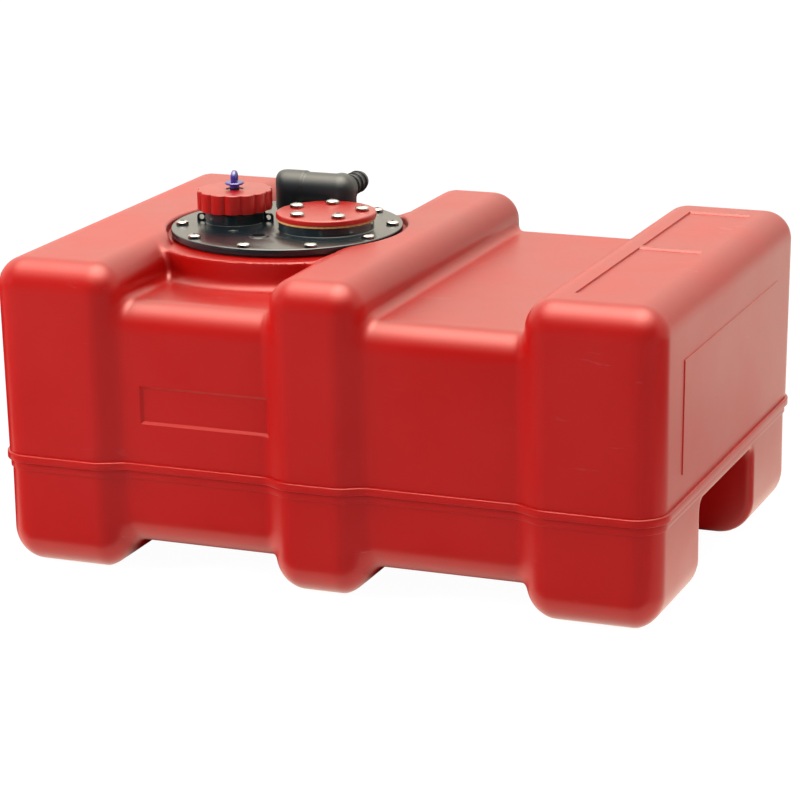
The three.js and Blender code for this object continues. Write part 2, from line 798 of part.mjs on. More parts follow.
const capSeal = ring(capSealInnerRadius, capSealOuterRadius, 0, capSealThickness, middleSides);
place(meshOf('cap_seal', capSeal, rubber), neckX, 0, plateTop + neckHeight + restGap);
place(meshOf('filler_cap', fillerCap(), capPlastic), neckX, 0, plateTop);
const ventRing = ring(ventStemRadius + restGap, ventSealRadius, 0, ventSealThickness, smallSides);
place(meshOf('vent_seal', ventRing, rubber), neckX, 0, plateTop + ventSeat + restGap);
place(meshOf('vent_screw', ventScrew(), bluePlastic), neckX, 0, plateTop + ventSeat);

const corkBottom = plateTop + gaugeBossHeight + restGap;
const coverBottom = corkBottom + corkThickness + restGap;
const coverTop = coverBottom + coverThickness;
const cutForScrews = (body, height) => coverScrewPlaces.reduce((sum, [x, y]) => {
  const hole = disc(screwHoleRadius, -overrun, height + overrun, screwSides);
  return sum.subtract(solid(atPlace(hole, x - gaugeX, y - gaugeY)));
}, body);
const corkRing = solid(ring(gaugeHoleRadius, corkRadius, 0, corkThickness, middleSides));
place(meshOf('cover_gasket', cutForScrews(corkRing, corkThickness), cork), gaugeX, gaugeY, corkBottom);
const coverDisc = solid(turned([
  [0, 0],
  [coverRadius, 0],
  [coverRadius, coverThickness - coverRimRound],
  [coverRadius - coverRimRound, coverThickness],
  [0, coverThickness],
], middleSides));
place(meshOf('gauge_cover', cutForScrews(coverDisc, coverThickness), capPlastic), gaugeX, gaugeY, coverBottom);
const coverScrew = panScrew(coverScrewHeadRadius, coverScrewHeadHeight, coverScrewShankLength);
coverScrewPlaces.forEach(([x, y], i) => {
  place(meshOf(`cover_screw_${i + 1}`, coverScrew, steel), x, y, coverTop + restGap);
});

const elbowSeal = ring(spigotRadius + restGap, elbowSealRadius, 0, elbowSealThickness, smallSides);
place(meshOf('elbow_seal', elbowSeal, rubber), elbowX, elbowY, plateTop + restGap);
place(meshOf('hose_elbow', hoseElbow(), blackPlastic), elbowX, elbowY, elbowBase);
const nutHole = disc(spigotRadius + spigotClearance, -elbowNutHeight - overrun, overrun, middleSides);
const elbowNut = solid(disc(elbowNutRadius, -elbowNutHeight, 0, nutSides)).subtract(solid(nutHole));
place(meshOf('elbow_nut', elbowNut, blackPlastic), elbowX, elbowY, plateBottom - restGap);
const tubeLength = tubeTop - strainerBottom - strainerHeight + 2 * strainerWall;
const tube = ring(tubeBoreRadius, tubeRadius, -tubeLength, 0, smallSides);
place(meshOf('pickup_tube', tube, paleNylon), elbowX, elbowY, tubeTop);
place(meshOf('pickup_strainer', strainer(), paleNylon), elbowX, elbowY, strainerBottom);

export default tank;
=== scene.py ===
# A fixed fuel tank of red polyethylene, moulded as two halves that meet at a stepped lip. A round
# black flange on top carries the filler neck and cap, a blanked gauge hole and a hose elbow.
# Sizes are in millimetres until a mesh is made. The front is at -Y and the ground at z = 0.

import math
from functools import partial, reduce

import bpy
import numpy as np
from mathutils import Matrix, Vector


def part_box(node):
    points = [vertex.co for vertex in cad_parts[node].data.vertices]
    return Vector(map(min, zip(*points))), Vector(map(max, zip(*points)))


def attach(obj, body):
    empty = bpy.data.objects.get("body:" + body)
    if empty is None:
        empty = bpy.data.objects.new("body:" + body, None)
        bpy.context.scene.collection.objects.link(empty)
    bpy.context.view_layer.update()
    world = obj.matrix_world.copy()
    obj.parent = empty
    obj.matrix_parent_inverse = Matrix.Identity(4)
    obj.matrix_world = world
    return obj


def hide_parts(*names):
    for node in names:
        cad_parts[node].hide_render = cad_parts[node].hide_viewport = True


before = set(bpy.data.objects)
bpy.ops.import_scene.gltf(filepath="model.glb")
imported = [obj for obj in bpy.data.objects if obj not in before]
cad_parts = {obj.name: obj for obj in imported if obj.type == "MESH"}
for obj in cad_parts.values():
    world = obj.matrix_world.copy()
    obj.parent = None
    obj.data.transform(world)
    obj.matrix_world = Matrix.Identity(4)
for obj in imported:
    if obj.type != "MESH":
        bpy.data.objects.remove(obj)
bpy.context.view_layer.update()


# Camera: a long lens that stands to the right of the front face and looks slightly down on the
# top. It is rolled a little to one side.

MM = 0.001
view_azimuth = math.radians(21.89)
view_elevation = math.radians(15.62)
view_roll = math.radians(-0.77)
view_distance = 2251.7
view_target = Vector((-5.46, 0, 100.5))

backward = Vector((
    math.sin(view_azimuth) * math.cos(view_elevation),
    -math.cos(view_azimuth) * math.cos(view_elevation),
    math.sin(view_elevation),
))
sideways = Vector((math.cos(view_azimuth), math.sin(view_azimuth), 0))
upright = backward.cross(sideways)
rightward = sideways * math.cos(view_roll) + upright * math.sin(view_roll)
upward = upright * math.cos(view_roll) - sideways * math.sin(view_roll)

lens = bpy.data.cameras.new("camera")
lens.lens = 136.34
lens.sensor_width = 36
camera = bpy.data.objects.new("camera", lens)
bpy.context.scene.collection.objects.link(camera)
turn = Matrix((rightward, upward, backward)).transposed().to_4x4()
camera.matrix_world = Matrix.Translation((view_target + backward * view_distance) * MM) @ turn
bpy.context.scene.camera = camera


# Red polyethylene of the tank: satin and a little blotchy, as rotational moulding leaves it, with
# a fine grain from the mould and short pale scuffs from handling.

def new_material(name):
    """A material with one shader, and a function that adds a node whose inputs are set or linked."""
    material = bpy.data.materials.new(name)
    material.use_nodes = True
    tree = material.node_tree
    return material, tree.nodes["Principled BSDF"], partial(add_node, tree)


def add_node(tree, kind, inputs=None, **settings):
    node = tree.nodes.new(kind)
    for name, value in settings.items():
        setattr(node, name, value)
    feed(tree, node, inputs or {})
    return node


def feed(tree, node, inputs):
    """Sets or links a node's inputs. A value that is a socket is linked."""
    for name, value in inputs.items():
        if isinstance(value, bpy.types.NodeSocket):
            tree.links.new(value, node.inputs[name])
        else:
            node.inputs[name].default_value = value


def calculated(add, operation, a, b, **settings):
    """One operation on two values, each a number or a socket."""
    return add("ShaderNodeMath", {0: a, 1: b}, operation=operation, **settings).outputs[0]


def ranged(add, value, low, high, start=0.0, end=1.0, easing="SMOOTHSTEP"):
    """The value brought from start..end to low..high."""
    node = add("ShaderNodeMapRange", {
        "Value": value, "From Min": start, "From Max": end, "To Min": low, "To Max": high,
    }, interpolation_type=easing)
    return node.outputs["Result"]


def blended(add, share, low, high):
    """A colour that goes from low to high with share. Each is a colour or a socket."""
    low, high = ((*end, 1) if isinstance(end, tuple) else end for end in (low, high))
    return add("ShaderNodeMix", {0: share, 6: low, 7: high}, data_type="RGBA").outputs[2]


def bumped(add, height, strength, distance, normal=None):
    inputs = {"Height": height, "Strength": strength, "Distance": distance}
    if normal is not None:
        inputs["Normal"] = normal
    return add("ShaderNodeBump", inputs).outputs["Normal"]


def new_group(name, inputs, outputs):
    """A shader group of number sockets, with the nodes at its two ends."""
    tree = bpy.data.node_groups.new(name, "ShaderNodeTree")
    for socket, value in inputs.items():
        made = tree.interface.new_socket(socket, in_out="INPUT", socket_type="NodeSocketFloat")
        made.default_value = value
    for socket in outputs:
        tree.interface.new_socket(socket, in_out="OUTPUT", socket_type="NodeSocketFloat")
    return tree, tree.nodes.new("NodeGroupInput"), tree.nodes.new("NodeGroupOutput")


def moulded_skin_group():
    """Moulded plastic: a soft blotch, a fine grain and a mask of short scuffs."""
    scales = {"Blotch Scale": 9.0, "Grain Scale": 900.0, "Scuff Scale": 60.0}
    tree, given, result = new_group("moulded_skin", scales, ("Blotch", "Grain", "Scuff"))
    add = partial(add_node, tree)
    place = add("ShaderNodeTexCoord").outputs["Object"]
    blotch = add("ShaderNodeTexNoise", {
        "Vector": place, "Scale": given.outputs["Blotch Scale"], "Detail": 3.0, "Roughness": 0.55,
    })
    grain = add("ShaderNodeTexNoise", {
        "Vector": place, "Scale": given.outputs["Grain Scale"], "Detail": 2.0, "Roughness": 0.6,
    })
    stretched = add("ShaderNodeMapping", {"Vector": place, "Scale": (0.35, 1.0, 2.6)})
    scratches = add("ShaderNodeTexNoise", {
        "Vector": stretched.outputs["Vector"], "Scale": given.outputs["Scuff Scale"],
        "Detail": 6.0, "Roughness": 0.7, "Distortion": 0.6,
    })
    patches = add("ShaderNodeTexNoise", {"Vector": place, "Scale": 16.0, "Detail": 2.0})
    thin = ranged(add, scratches.outputs["Fac"], 0, 1, 0.62, 0.74, "LINEAR")
    where = ranged(add, patches.outputs["Fac"], 0, 1, 0.52, 0.66, "LINEAR")
    feed(tree, result, {
        "Blotch": blotch.outputs["Fac"], "Grain": grain.outputs["Fac"],
        "Scuff": calculated(add, "MULTIPLY", thin, where),
    })
    return tree


moulded_skin = moulded_skin_group()
blotch_range = 0.2, 0.8
grain_depth, wave_depth = 0.0002, 0.0012


def plastic(name, dark, light, roughness, scuffed, grain=0.12, wave=0.25, ior=1.45):
    """Moulded plastic between two colours. Scuffed is how pale its scratches are."""
    material, shader, add = new_material(name)
    skin = add("ShaderNodeGroup", node_tree=moulded_skin)
    blotch, fine, scuff = (skin.outputs[s] for s in ("Blotch", "Grain", "Scuff"))
    clean = blended(add, ranged(add, blotch, 0, 1, *blotch_range), dark, light)
    faded = tuple(c + (1 - c) * scuffed for c in light)
    waves = bumped(add, blotch, wave, wave_depth)
    feed(material.node_tree, shader, {
        "Base Color": blended(add, scuff, clean, faded),
        "Roughness": ranged(add, blotch, roughness - 0.03, roughness + 0.04, *blotch_range),
        "IOR": ior,
        "Normal": bumped(add, fine, grain, grain_depth, waves),
    })
    return material


red_polyethylene = plastic(
    "red_polyethylene", (0.310, 0.0025, 0.0016), (0.335, 0.0038, 0.0026),
    roughness=0.315, scuffed=0.07, ior=1.40,
)


# Tank halves: rotationally moulded in red polyethylene, with three tall blocks over two recesses.
# The lower half has a hand hold under each end and the upper one a round seat for the flange.

def span(node):
    """Lowest and highest corners of a piece, in millimetres."""
    low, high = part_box(node)
    return np.array(low) / MM, np.array(high) / MM


def middle_of(node):
    low, high = span(node)
    return (low + high) / 2


# A clamped piece stands clear of what it is clamped to, and a cutter runs past what it cuts
clamp_gap = 0.25
overrun = 3

tank_high = span("upper_shell")[1]
height = tank_high[2]
lip_out = 3.5
half_length = tank_high[0] - lip_out
half_width = tank_high[1] - lip_out
tank_wall = 5
corner_radius = 21
top_edge = 21
bottom_edge = 27
recess_fillet = 7

rib_left, rib_right = -38.5, 32.5
left_block_end = rib_left - 114.5
right_block_start = rib_right + 116
core_inset = 40
recess_side_depth = 9
recess_top = height - 27
recess_bottom = 20
side_out = 1.3
side_flare = 1.5
seam_height = 79.3
seam_half_gap = 0.15

flange_middle = middle_of("flange_gasket")[:2]
flange_opening = 70
seat_z = span("flange_gasket")[0][2] - clamp_gap
seat_radius = 100.5
seat_rim = 1.5
seat_fillet = 9
pocket_radius = 89.3
pocket_depth = pocket_radius / 4
pocket_mouth = 2
pocket_corner = 1
insert_ring_radius, insert_ring_depth = 87, 18
insert_radius, insert_depth = 4.3, 15

hold_depth = 60
hold_half_width = 69
hold_height = 68
hold_radius = 8
hold_mouth = 4

# Each block's ends, half width, top and bottom, and which of its ends lie outside
blocks = [
    (-half_length, left_block_end, half_width, height, 0, 1, 0),
    (rib_left, rib_right, half_width, height, 0, 0, 0),
    (right_block_start, half_length, half_width, height, 0, 0, 1),
]
core = (
    core_inset - half_length, half_length - core_inset, half_width - recess_side_depth,
    recess_top, recess_bottom, 0, 0,
)


def rounded(a, b, radius):
    """Where two shapes overlap, with the edge between them rounded."""
    a, b = a + radius, b + radius
    return np.minimum(np.maximum(a, b), 0) + np.hypot(np.maximum(a, 0), np.maximum(b, 0)) - radius


def filleted(a, b, radius):
    """Two shapes joined, with the corner between them filled."""
    corner = np.hypot(np.maximum(radius - a, 0), np.maximum(radius - b, 0))
    return np.maximum(radius, np.minimum(a, b)) - corner


def plan_of(block, x, y, flare):
    """Distance from a block's outline seen from above, negative inside."""
    x0, x1, half_y, _, _, left_out, right_out = block
    x0, x1 = x0 - flare * left_out, x1 + flare * right_out
    past_ends = np.abs(x - (x0 + x1) / 2) - (x1 - x0) / 2
    return rounded(past_ends, np.abs(y) - half_y - flare, corner_radius)


def upper_field(x, y, z):
    """Distance from the upper half, carried on below the seam."""
    rise = np.clip((z - seam_height) / (height - top_edge - seam_height), 0, 1)
    flare = side_out + side_flare * rise
    reach = np.hypot(x - flange_middle[0], y - flange_middle[1])
    tall = reduce(np.minimum, [
        rounded(plan_of(block, x, y, flare), z - block[3], top_edge) for block in blocks
    ])
    pocket = np.maximum(reach - pocket_radius, seat_z - pocket_depth - z)
    tall = rounded(tall, -pocket, pocket_mouth)
    floor = rounded(plan_of(core, x, y, flare), z - core[3], top_edge)
    seat = rounded(reach - seat_radius, z - seat_z, seat_rim)
    share = np.clip((reach - pocket_radius) / (seat_radius - pocket_radius), 0, 1)
    corner = pocket_corner + (recess_fillet - pocket_corner) * share
    return filleted(filleted(floor, seat, seat_fillet), tall, corner)


def lower_field(x, y, z):
    """Distance from the lower half, carried on above the seam."""
    tall = reduce(np.minimum, [
        rounded(plan_of(block, x, y, 0), block[4] - z, bottom_edge) for block in blocks
    ])
    floor = rounded(plan_of(core, x, y, 0), core[4] - z, bottom_edge)
    shape = filleted(tall, floor, recess_fillet)
    for side in (-1, 1):
        walls = rounded(half_length - hold_depth - side * x, np.abs(y) - hold_half_width, hold_radius)
        hold = rounded(walls, z - hold_height, hold_radius)
        shape = rounded(shape, -hold, hold_mouth)
    return shape


def upper_hollow(x, y, z):
    """Inside of the upper half, with a thick ring left round the seat for the screw inserts."""
    reach = np.hypot(x - flange_middle[0], y - flange_middle[1])
    ring = [flange_opening - reach, reach - insert_ring_radius, seat_z - insert_ring_depth - z]
    return np.maximum(upper_field(x, y, z) + tank_wall, -reduce(np.maximum, ring))


def lower_hollow(x, y, z):
    return lower_field(x, y, z) + tank_wall


def pull_to_surface(field, points, rounds):
    """Moves points along the field's slope until they lie on its surface."""
    step = 0.05
    least_steepness = 0.1
    for _ in range(rounds):
        value = field(*points.T)
        slope = np.stack([
            (field(*(points + offset).T) - field(*(points - offset).T)) / (2 * step)
            for offset in np.eye(3) * step
        ], axis=1)
        steepness = np.maximum((slope ** 2).sum(1), least_steepness)
        points = points - slope * (value / steepness)[:, None]
    return points


def skin_of(field, xs, ys, zs, relax=2):
    """A closed mesh of quads on the surface of a field, on a grid whose lines may be spaced unevenly."""
    lines = (xs, ys, zs)
    value = field(*np.meshgrid(*lines, indexing="ij", sparse=True))
    value = np.broadcast_to(value, tuple(len(line) for line in lines))
    inside = value < 0
    cell_shape = tuple(len(line) - 1 for line in lines)

    # Where a grid line crosses the surface, a quad joins the four cells round the line
    corners, cells = [], []
    for axis in range(3):
        first = inside.take(range(inside.shape[axis] - 1), axis)
        second = inside.take(range(1, inside.shape[axis]), axis)
        node = np.argwhere(first != second)
        beyond = node.copy()
        beyond[:, axis] += 1
        v0, v1 = value[tuple(node.T)], value[tuple(beyond.T)]
        point = np.stack([lines[i][node[:, i]] for i in range(3)], axis=1).astype(float)
        along = lines[axis]
        point[:, axis] += v0 / (v0 - v1) * (along[beyond[:, axis]] - along[node[:, axis]])
        b, c = (axis + 1) % 3, (axis + 2) % 3
        ring = []
        for db, dc in ((0, 0), (-1, 0), (-1, -1), (0, -1)):
            cell = node.copy()
            cell[:, b] += db
            cell[:, c] += dc
            ring.append(np.ravel_multi_index(tuple(cell.T), cell_shape))
        ring = np.stack(ring, axis=1)
        outward = v0 < 0
        ring[~outward] = ring[~outward][:, ::-1]
        cells.append(ring)
        corners.append(np.repeat(point, 4, axis=0))
    cells, corners = np.concatenate(cells), np.concatenate(corners)

    # Each cell has one corner, at the mean of its crossings
    _, faces = np.unique(cells.ravel(), return_inverse=True)
    count = faces.max() + 1
    share = np.bincount(faces, minlength=count)
    points = np.stack([np.bincount(faces, corners[:, i], count) / share for i in range(3)], axis=1)
    faces = faces.reshape(-1, 4)
    points = pull_to_surface(field, points, 3)

    # The corners then even out along the surface
    here = np.concatenate([faces[:, i] for i in range(4)] * 2)
    there = np.concatenate([faces[:, (i + turn) % 4] for turn in (1, 3) for i in range(4)])
    near = np.bincount(here, minlength=count)
    for _ in range(relax):
        mean = np.stack([np.bincount(here, points[there, i], count) / near for i in range(3)], axis=1)
        points = pull_to_surface(field, points + (mean - points) * 0.5, 2)
    return points, faces


def grid_line(low, high, step, fine=None, fine_step=None):
    """Grid places from low to high, closer together inside the fine stretch."""
    if fine is None:
        return np.linspace(low, high, round((high - low) / step) + 1)
    parts = [(low, fine[0], step), (fine[0], fine[1], fine_step), (fine[1], high, step)]
    lines = [np.linspace(a, b, max(2, round((b - a) / s) + 1)) for a, b, s in parts if b > a]
    return np.unique(np.concatenate(lines))


def mesh_object(name, points, faces):
    """A mesh object from points in millimetres."""
    if isinstance(faces, np.ndarray):
        faces = faces.tolist()
    mesh = bpy.data.meshes.new(name)
    mesh.from_pydata((np.asarray(points, float) * MM).tolist(), [], faces)
    made = bpy.data.objects.new(name, mesh)
    bpy.context.scene.collection.objects.link(made)
    return made


def combine(target, cutter, operation):
    """Joins or cuts a closed mesh with another, which is then removed."""
    change = target.modifiers.new("change", "BOOLEAN")
    change.operation = operation
    change.solver = "MANIFOLD"
    change.object = cutter
    bpy.context.view_layer.update()
    shape = bpy.data.meshes.new_from_object(target.evaluated_get(bpy.context.evaluated_depsgraph_get()))
    target.modifiers.clear()
    old = target.data
    target.data = shape
    shape.name = target.name
    bpy.data.meshes.remove(old)
    spent = cutter.data
    bpy.data.objects.remove(cutter)
    bpy.data.meshes.remove(spent)
    return target


def cut(target, cutter):
    return combine(target, cutter, "DIFFERENCE")


def join(target, other):
    return combine(target, other, "UNION")


def stacked(name, loops, closed=False):
    """A closed mesh through loops of equal count. A closed stack meets its own start."""
    count = len(loops[0])
    points = np.concatenate([np.asarray(loop, float) for loop in loops])
    levels = len(loops) if closed else len(loops) - 1
    faces = []
    for level_index in range(levels):
        a, b = level_index * count, (level_index + 1) % len(loops) * count
        faces += [[a + i, a + (i + 1) % count, b + (i + 1) % count, b + i] for i in range(count)]
    if not closed:
        faces.append(list(range(count))[::-1])
        faces.append(list(range(len(points) - count, len(points))))
    return mesh_object(name, points, faces)


def block_shape(name, low, high):
    (x0, y0, z0), (x1, y1, z1) = low, high
    return stacked(name, [[(x0, y0, z), (x1, y0, z), (x1, y1, z), (x0, y1, z)] for z in (z0, z1)])


def turned(name, profile, sides, middle=(0, 0, 0), ring=False):
    """A solid turned about Z from (radius, height) pairs, from the bottom up. A ring closes on itself."""
    angles = np.arange(sides) * 2 * math.pi / sides
    loops = [
        np.stack([
            middle[0] + radius * np.cos(angles), middle[1] + radius * np.sin(angles),
            np.full(sides, middle[2] + z),
        ], axis=1)
        for radius, z in profile if radius > 0
    ]
    return stacked(name, loops, closed=ring)


def eased(profile, radii, steps=4):
    """The profile with a round at each corner that has a radius."""
    eased_profile = []
    count = len(profile)
    for i, (corner, radius) in enumerate(zip(profile, radii)):
        corner = Vector(corner)
        if not radius:
            eased_profile.append(tuple(corner))
            continue
        before = (Vector(profile[i - 1]) - corner).normalized()
        after = (Vector(profile[(i + 1) % count]) - corner).normalized()
        half = before.angle(after) / 2
        start = corner + before * radius / math.tan(half)
        end = corner + after * radius / math.tan(half)
        centre = corner + (before + after).normalized() * radius / math.sin(half)
        for step in range(steps + 1):
            point = start.lerp(end, step / steps) - centre
            eased_profile.append(tuple(centre + point.normalized() * radius))
    return eased_profile


def drill(target, radius, low, high, sides, place):
    """Cuts a round upright hole between two heights."""
    cut(target, turned("hole", [(radius, low), (radius, high)], sides, (*place[:2], 0)))


def finish_piece(piece, material, body, nodes, crease=32):
    """Shades a piece, gives it its material and body, and hides the plain nodes it stands for."""
    mesh = piece.data
    mesh.shade_smooth()
    mesh.set_sharp_from_angle(angle=math.radians(crease))
    mesh.materials.clear()
    mesh.materials.append(material)
    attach(piece, body)
    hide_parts(*nodes)


def seam_outline(step=2.5):
    """Points on the tank's plan outline at the seam, in order, and their outward directions."""
    def plan(x, y):
        tall = min(plan_of(block, x, y, 0) for block in blocks)
        return float(filleted(tall, plan_of(core, x, y, 0), recess_fillet))

    def slope(x, y):
        reach = 0.01
        across = plan(x + reach, y) - plan(x - reach, y)
        along = plan(x, y + reach) - plan(x, y - reach)
        rise = np.array([across, along])
        return rise / np.linalg.norm(rise)

    point = np.array([half_length, 0.0])
    places, outward = [], []
    while True:
        for _ in range(3):
            point = point - plan(*point) * slope(*point)
        places.append(point)
        outward.append(slope(*point))
        point = point + step * np.array([-outward[-1][1], outward[-1][0]])
        if len(places) > 10 and np.linalg.norm(point - places[0]) < step * 0.75:
            return np.array(places), np.array(outward)


seam_places, seam_outward = seam_outline()


def lip_band(name, out, low, high, edge):
    """A band of the seam's lip, swept along the outline with rounded edges."""
    embed = 2.2
    profile = eased(
        [(-embed, low), (out, low), (out, high), (-embed, high)], [0, edge / 2, edge, 0], steps=3,
    )
    loops = []
    for place, outward in zip(seam_places, seam_outward):
        loops.append([(*(place + outward * offset), z) for offset, z in profile])
    return stacked(name, loops, closed=True)


coarse = 1
grid_step, fine_step, inner_step = 2.5 * coarse, 1.25 * coarse, 6
margin = 12
edge_x = half_length + margin
edge_y = half_width + margin


def half_shell(name, field, hollow, low, high, side, xs, ys, fine_z=None):
    """One half from its outer and inner fields, cut square at the seam."""
    def closed(shape):
        return lambda x, y, z: np.maximum(shape(x, y, z), np.maximum(low - z, z - high))

    zs = grid_line(low - margin, high + margin, grid_step, fine_z, fine_step)
    half = mesh_object(name, *skin_of(closed(field), xs, ys, zs))
    inner = [(-edge_x, edge_x), (-edge_y, edge_y), (low - margin, high + margin)]
    inner_lines = [grid_line(*ends, inner_step) for ends in inner]
    cut(half, mesh_object("hollow", *skin_of(closed(hollow), *inner_lines)))
    seam = seam_height + side * seam_half_gap
    far = seam - side * (height + margin)
    slab = [(-2 * edge_x, -2 * edge_y, min(seam, far)), (2 * edge_x, 2 * edge_y, max(seam, far))]
    return cut(half, block_shape("slab", *slab))


seam_overlap = 9
outside = 1
lip_height = 5.9
lower_lip_out, lower_lip_edge, upper_lip_edge = 1.2, 0.7, 1.1
lower_half = half_shell(
    "lower_half", lower_field, lower_hollow, -outside, seam_height + seam_overlap, -1,
    grid_line(-edge_x, edge_x, grid_step), grid_line(-edge_y, edge_y, grid_step),
)
lower_lip = seam_height - lip_height, seam_height - seam_half_gap
join(lower_half, lip_band("lower_lip", lower_lip_out, *lower_lip, lower_lip_edge))

seat_margin = 6
seat_reach = seat_radius + seat_margin
fine_x = (flange_middle[0] - seat_reach, flange_middle[0] + seat_reach)
fine_y = (-seat_reach, seat_reach)
upper_half = half_shell(
    "upper_half", upper_field, upper_hollow, seam_height - seam_overlap, height + outside, 1,
    grid_line(-edge_x, edge_x, grid_step, fine_x, fine_step),
    grid_line(-edge_y, edge_y, grid_step, fine_y, fine_step),
    fine_z=(seat_z - seat_margin, height + outside),
)
upper_lip = seam_height + seam_half_gap, seam_height + lip_height
join(upper_half, lip_band("upper_lip", lip_out, *upper_lip, upper_lip_edge))


def panel(size, levels, place, facing):
    """A rectangular block through (inset in x, inset in y, height) levels, turned from +Z to face a side."""
    loops = []
    for inset_x, inset_y, z in levels:
        x, y = size[0] / 2 - inset_x, size[1] / 2 - inset_y
        loops.append([(-x, -y, z), (x, -y, z), (x, y, z), (-x, y, z)])
    block = stacked("panel", loops)
    turn_to = Vector((0, 0, 1)).rotation_difference(Vector(facing)).to_matrix().to_4x4()
    block.data.transform(Matrix.Translation(Vector(place) * MM) @ turn_to)
    return block


def sunk(depth, bevel_x, bevel_y):
    """Levels of a cutter that widens from its floor to its mouth."""
    return (bevel_x, bevel_y, -depth), (0, 0, 0), (0, 0, overrun)


def side_at(z, base):
    """Where an outer wall of the upper half stands at a height."""
    return base + side_out + side_flare * (z - seam_height) / (height - top_edge - seam_height)


front_plate_x, front_plate_z, front_plate_size = -87.5, 128.5, (100, 28.5)
front_plate_y = -side_at(front_plate_z, half_width - recess_side_depth)
top_panel_x, top_panel_length, panel_middle, panel_divide = 199.8, 46.5, 12, 6
near_width, far_width = 145.5, 121.5
near_y = panel_middle - (panel_divide + near_width) / 2
far_y = panel_middle + (panel_divide + far_width) / 2
end_panel_z, end_panel_size = 143.2, (81, 242)
end_face = side_at(end_panel_z, half_length)
end_lean = side_flare / (height - top_edge - seam_height)
raised = (0, 0, -2), (0, 0, 0), (0.35, 0.35, 0.6)

cut(upper_half, panel(
    front_plate_size, sunk(1.6, 2.2, 2.2), (front_plate_x, front_plate_y, front_plate_z), (0, -1, 0),
))
for width, y in ((near_width, near_y), (far_width, far_y)):
    size = top_panel_length, width
    cut(upper_half, panel(size, sunk(1.2, 0.4, 1.7), (top_panel_x, y, height), (0, 0, 1)))
join(upper_half, panel(end_panel_size, raised, (end_face, 0, end_panel_z), (1, 0, -end_lean)))

screws = [f"flange_screw_{number:02d}" for number in range(1, 11)]
screw_places = [middle_of(name)[:2] for name in screws]
under_seat, above_tank = seat_z - 40, height + 5
drill(upper_half, flange_opening, under_seat, above_tank, 96, flange_middle)
for place in screw_places:
    drill(upper_half, insert_radius, seat_z - insert_depth, above_tank, 24, place)

for half, node in ((lower_half, "lower_shell"), (upper_half, "upper_shell")):
    finish_piece(half, red_polyethylene, "tank", [node])


# Flange plate: one black moulding with the filler neck, its thread and tether ears, the boss of
# the blanked gauge hole, a blind port and an ejector dimple. Ten screws hold it on the seat.

black_plastic = plastic(
    "black_plastic", (0.006, 0.011, 0.014), (0.010, 0.017, 0.021), roughness=0.23, scuffed=0.06,
    grain=0.10, wave=0.5, ior=1.55,
)


def moved(piece, x=0.0, y=0.0, z=0.0, turn_z=0.0):
    """Turns a piece's mesh about Z and moves it, in millimetres."""
    piece.data.transform(Matrix.Translation(Vector((x, y, z)) * MM) @ Matrix.Rotation(turn_z, 4, "Z"))
    return piece


def footed(radius, foot, top, edge, fillet):
    """Profile of a round boss with a fillet round its foot and a rounded rim."""
    skirt = fillet + 1
    outline = [(0, foot - 1), (radius + skirt, foot - 1), (radius + skirt, foot - 0.02),
               (radius, foot - 0.02), (radius, top), (0, top)]
    return eased(outline, [0, 0, 0, fillet, edge, 0])


plate_low, plate_high = span("flange_plate")
plate_bottom = plate_low[2]
plate_radius = (plate_high[0] - plate_low[0]) / 2
plate_thickness = 4.75
plate_top = plate_bottom + plate_thickness
neck = middle_of("cap_seal")
gauge = middle_of("gauge_cover")
elbow = middle_of("elbow_seal")

plate = turned("plate", eased(
    [(0, plate_bottom), (plate_radius, plate_bottom), (plate_radius, plate_top), (0, plate_top)],
    [0, 0.5, 0.9, 0],
), 160, (*flange_middle, 0))

boss_radius, boss_top = 35.3, plate_top + 6.6
join(plate, turned("boss", footed(boss_radius, plate_top, boss_top, 0.7, 0.7), 112, (*gauge[:2], 0)))

collar_radius, collar_top = 22.6, plate_top + 8.9
thread_root, neck_top = 20.4, plate_top + 19.5
neck_outline = footed(collar_radius, plate_top, collar_top, 0.8, 0.6)
join(plate, turned("neck_collar", neck_outline, 96, (*neck[:2], 0)))
join(plate, turned("neck_wall", eased(
    [(0, plate_top), (thread_root, plate_top), (thread_root, neck_top), (0, neck_top)], [0, 0, 0.6, 0],
), 96, (*neck[:2], 0)))


def thread(name, turns, start_angle, start_z, root, crest):
    """A screw thread's ridge with a rounded crest, which fades into its wall at both ends."""
    pitch, steps, root_width, crest_width = 4.0, 48, 2.2, 1.3
    fade_rate, least_ridge = 6, 0.15
    loops = []
    count = math.ceil(turns * steps)
    for step in range(count + 1):
        part = step / count
        angle = start_angle + part * turns * 2 * math.pi
        z = start_z + part * turns * pitch
        fade = min(1, fade_rate * min(part, 1 - part) + least_ridge)
        reach = root + (crest - root) * fade
        loop = []
        for share, dz in ((0, -0.5), (0.75, -0.38), (1, -0.2), (1, 0.2), (0.75, 0.38), (0, 0.5)):
            radius = root + (reach - root) * share
            width = root_width if share < 0.5 else crest_width + (root_width - crest_width) * 0.5
            loop.append((radius * math.cos(angle), radius * math.sin(angle), z + dz * width))
        loops.append(loop if crest < root else loop[::-1])
    return stacked(name, loops)


join(plate, moved(thread(
    "neck_thread", turns=1.75, start_angle=0, start_z=collar_top + 1.8,
    root=thread_root - 0.4, crest=thread_root + 1.6,
), *neck[:2]))

ear_reach, ear_thickness, ear_height, ear_angle = 28.8, 2.8, 5.8, math.radians(15)
ear_round, ear_edge = 2.8, 0.5


